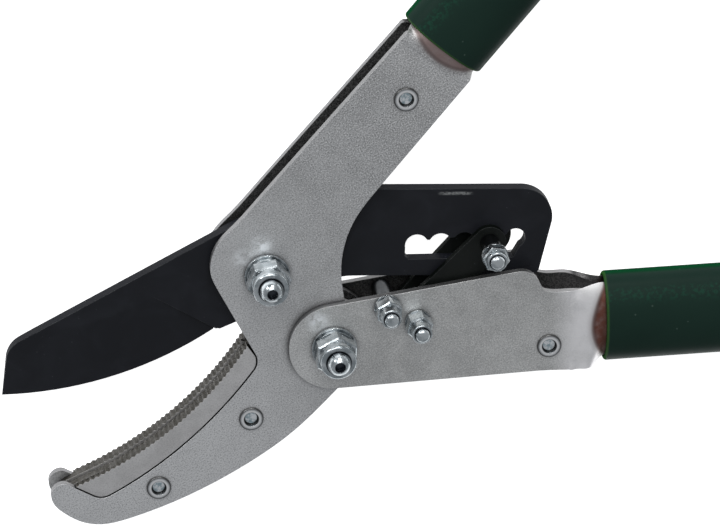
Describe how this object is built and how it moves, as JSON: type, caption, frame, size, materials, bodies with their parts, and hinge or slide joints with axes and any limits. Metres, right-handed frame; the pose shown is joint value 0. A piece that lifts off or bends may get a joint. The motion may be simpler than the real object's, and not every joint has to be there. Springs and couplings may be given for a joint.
{
  "type": "ratchet anvil lopper",
  "caption": "Long-handled anvil pruner: a coated blade closes onto a serrated hooked anvil through a ratchet link; oval tube handles with grips.",
  "frame": {"origin": "centre of the flat outer face of the lever pivot bolt's hex head, the face the tool lies on", "axes": "+Z along the pivot bolts, up from the surface the tool lies on towards the nuts; +X along the bisector of the two handles, from the pivots towards the grips"},
  "size_m": [0.715, 0.6245, 0.0417],
  "materials": {
    "plate_steel": "satin tumbled steel, fine grain",
    "anvil_steel": "dull sintered steel with fine teeth",
    "blade_coating": "black non-stick coating, satin",
    "link_coating": "black oxide, satin",
    "rivet_steel": "bright plated, rolled rim",
    "bearing_brass": "plain turned",
    "spacer_steel": "blued turned steel",
    "zinc_plate": "bright zinc plate",
    "tube_paint": "dark green gloss paint",
    "grip_rubber": "moulded, matt, ribbed"
  },
  "bodies": {
    "frame": {"frame_plate_front": "plate_steel", "frame_plate_back": "plate_steel", "anvil_insert": "anvil_steel", "anvil_rivets": "rivet_steel", "arm_rivet": "rivet_steel", "arm_rivet_spacer": "spacer_steel", "blade_pivot_bolt": "zinc_plate", "blade_pivot_nut": "zinc_plate", "blade_nut_washer": "zinc_plate", "blade_nut_upper_washer": "zinc_plate", "blade_pivot_washer": "zinc_plate", "blade_thrust_washers": "bearing_brass", "lever_pivot_bolt": "zinc_plate", "lever_pivot_nut": "zinc_plate", "lever_nut_washer": "zinc_plate", "lever_nut_upper_washer": "zinc_plate", "lever_pivot_washer": "zinc_plate", "lever_pivot_spacer": "spacer_steel", "upper_tube": "tube_paint", "upper_grip": "grip_rubber"},
    "lever": {"lever_plate_front": "plate_steel", "lever_plate_back": "plate_steel", "lever_rivet": "rivet_steel", "lever_rivet_spacer": "spacer_steel", "link_pivot_bolt": "zinc_plate", "link_pivot_nut": "zinc_plate", "link_pivot_nut_washer": "zinc_plate", "stop_nut_washer": "zinc_plate", "link_pivot_spacers": "spacer_steel", "stop_bolt": "zinc_plate", "stop_nut": "zinc_plate", "stop_sleeve": "spacer_steel", "lower_tube": "tube_paint", "lower_grip": "grip_rubber"},
    "link": {"link_front": "link_coating", "link_back": "link_coating", "link_pivot_bush": "spacer_steel", "pawl_pin": "zinc_plate", "pawl_sleeve": "spacer_steel", "pawl_washer": "zinc_plate", "pawl_nut": "zinc_plate"},
    "blade": {"blade": "blade_coating"}
  },
  "joints": [
    {"name": "lever_pivot", "type": "hinge", "parent": "frame", "child": "lever", "pos_m": [0, 0, 0.016], "axis": [0, 0, 1], "range_deg": [0, 35]},
    {"name": "blade_pivot", "type": "hinge", "parent": "frame", "child": "blade", "pos_m": [-0.0085, 0.0334, 0.016], "axis": [0, 0, 1], "range_deg": [0, 24.1]},
    {"name": "link_pivot", "type": "hinge", "parent": "lever", "child": "link", "pos_m": [0.0288, -0.0051, 0.016], "axis": [0, 0, 1], "range_deg": [-12, 0]}
  ],
  "couplings": [
    {"joint": "blade_pivot", "follows": "lever_pivot", "ratio": 0.6857},
    {"joint": "link_pivot", "follows": "lever_pivot", "ratio": -0.34}
  ]
}
